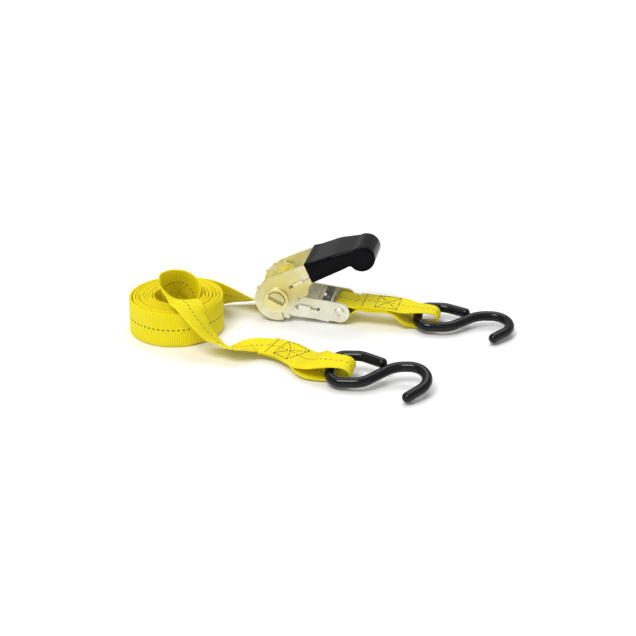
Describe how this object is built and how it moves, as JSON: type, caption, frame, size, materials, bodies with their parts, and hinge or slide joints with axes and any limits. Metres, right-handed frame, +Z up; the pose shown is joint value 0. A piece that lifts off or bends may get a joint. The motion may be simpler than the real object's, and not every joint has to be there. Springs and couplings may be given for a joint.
{
  "type": "ratchet tie down",
  "caption": "Ratchet tie down with a black-gripped steel ratchet buckle, rolled yellow webbing and two black coated S hooks.",
  "frame": {"origin": "centre of the bottom of the whole object's box", "axes": "+X from the rolled strap towards the hooks, +Y from the long strap's hook towards the buckle, +Z up"},
  "size_m": [0.2774, 0.169, 0.0622],
  "materials": {
    "webbing": "woven, matt",
    "plated_steel": "zinc plated, satin",
    "bright_steel": "bright plated",
    "spring_steel": "plain",
    "grip_vinyl": "dipped vinyl, glossy",
    "hook_vinyl": "dipped vinyl, glossy",
    "core_steel": "plain rod"
  },
  "bodies": {
    "base": {"base_plate_near": "plated_steel", "base_plate_far": "plated_steel", "base_floor": "plated_steel", "end_bolt": "plated_steel", "end_nut": "plated_steel", "end_sleeve": "plated_steel", "lock_spring_near": "spring_steel", "lock_spring_far": "spring_steel", "strap_roll": "webbing", "strap_run": "webbing", "strap_riser": "webbing", "strap_tail": "webbing", "strap_upper_ply": "webbing", "strap_fold": "webbing"},
    "spool": {"spool_half_upper": "plated_steel", "spool_half_lower": "plated_steel", "spool_winding": "webbing", "ratchet_wheel_near": "plated_steel", "ratchet_wheel_far": "plated_steel", "hub_collar_near": "plated_steel", "hub_collar_far": "plated_steel"},
    "handle": {"handle_plate_near": "plated_steel", "handle_plate_far": "plated_steel", "handle_grip": "grip_vinyl", "handle_bridge": "plated_steel", "handle_stay": "bright_steel", "drive_spring": "spring_steel"},
    "drive_pawl": {"drive_pawl": "bright_steel"},
    "lock_pawl": {"lock_pawl": "bright_steel"},
    "short_strap": {"short_strap_webbing": "webbing"},
    "short_hook": {"short_hook_core": "core_steel", "short_hook_coating": "hook_vinyl"},
    "long_hook": {"long_hook_core": "core_steel", "long_hook_coating": "hook_vinyl"}
  },
  "joints": [
    {"name": "handle_swing", "type": "hinge", "parent": "base", "child": "handle", "pos_m": [-0.0289, 0.06307, 0.0177], "axis": [-0.1908, -0.9816, 0], "range_deg": [-22, 110]},
    {"name": "spool_spin", "type": "hinge", "parent": "base", "child": "spool", "pos_m": [-0.0289, 0.06307, 0.0177], "axis": [-0.1908, -0.9816, 0], "continuous": true},
    {"name": "drive_pawl_pull", "type": "slide", "parent": "handle", "child": "drive_pawl", "axis": [0.8138, -0.1582, 0.5592], "range_m": [0, 0.004], "stiffness_N_per_m": 400, "springref_m": -0.004, "deforming": ["drive_spring"]},
    {"name": "lock_pawl_pull", "type": "slide", "parent": "base", "child": "lock_pawl", "axis": [0.9667, -0.1879, -0.1736], "range_m": [0, 0.004], "stiffness_N_per_m": 400, "springref_m": -0.004, "deforming": ["lock_spring_near", "lock_spring_far"]},
    {"name": "short_strap_swing", "type": "hinge", "parent": "base", "child": "short_strap", "pos_m": [0.01615, 0.05432, 0.00961], "axis": [-0.1908, -0.9816, 0], "range_deg": [-15, 12]},
    {"name": "short_hook_swing", "type": "hinge", "parent": "short_strap", "child": "short_hook", "pos_m": [0.07054, 0.0389, 0.0073], "axis": [-0.0852, -0.9889, -0.1219], "range_deg": [-60, 12]},
    {"name": "long_hook_swing", "type": "hinge", "parent": "base", "child": "long_hook", "pos_m": [0.0063, -0.04693, 0.0083], "axis": [-0.136, -0.9565, -0.2579], "range_deg": [-60, 20]}
  ]
}
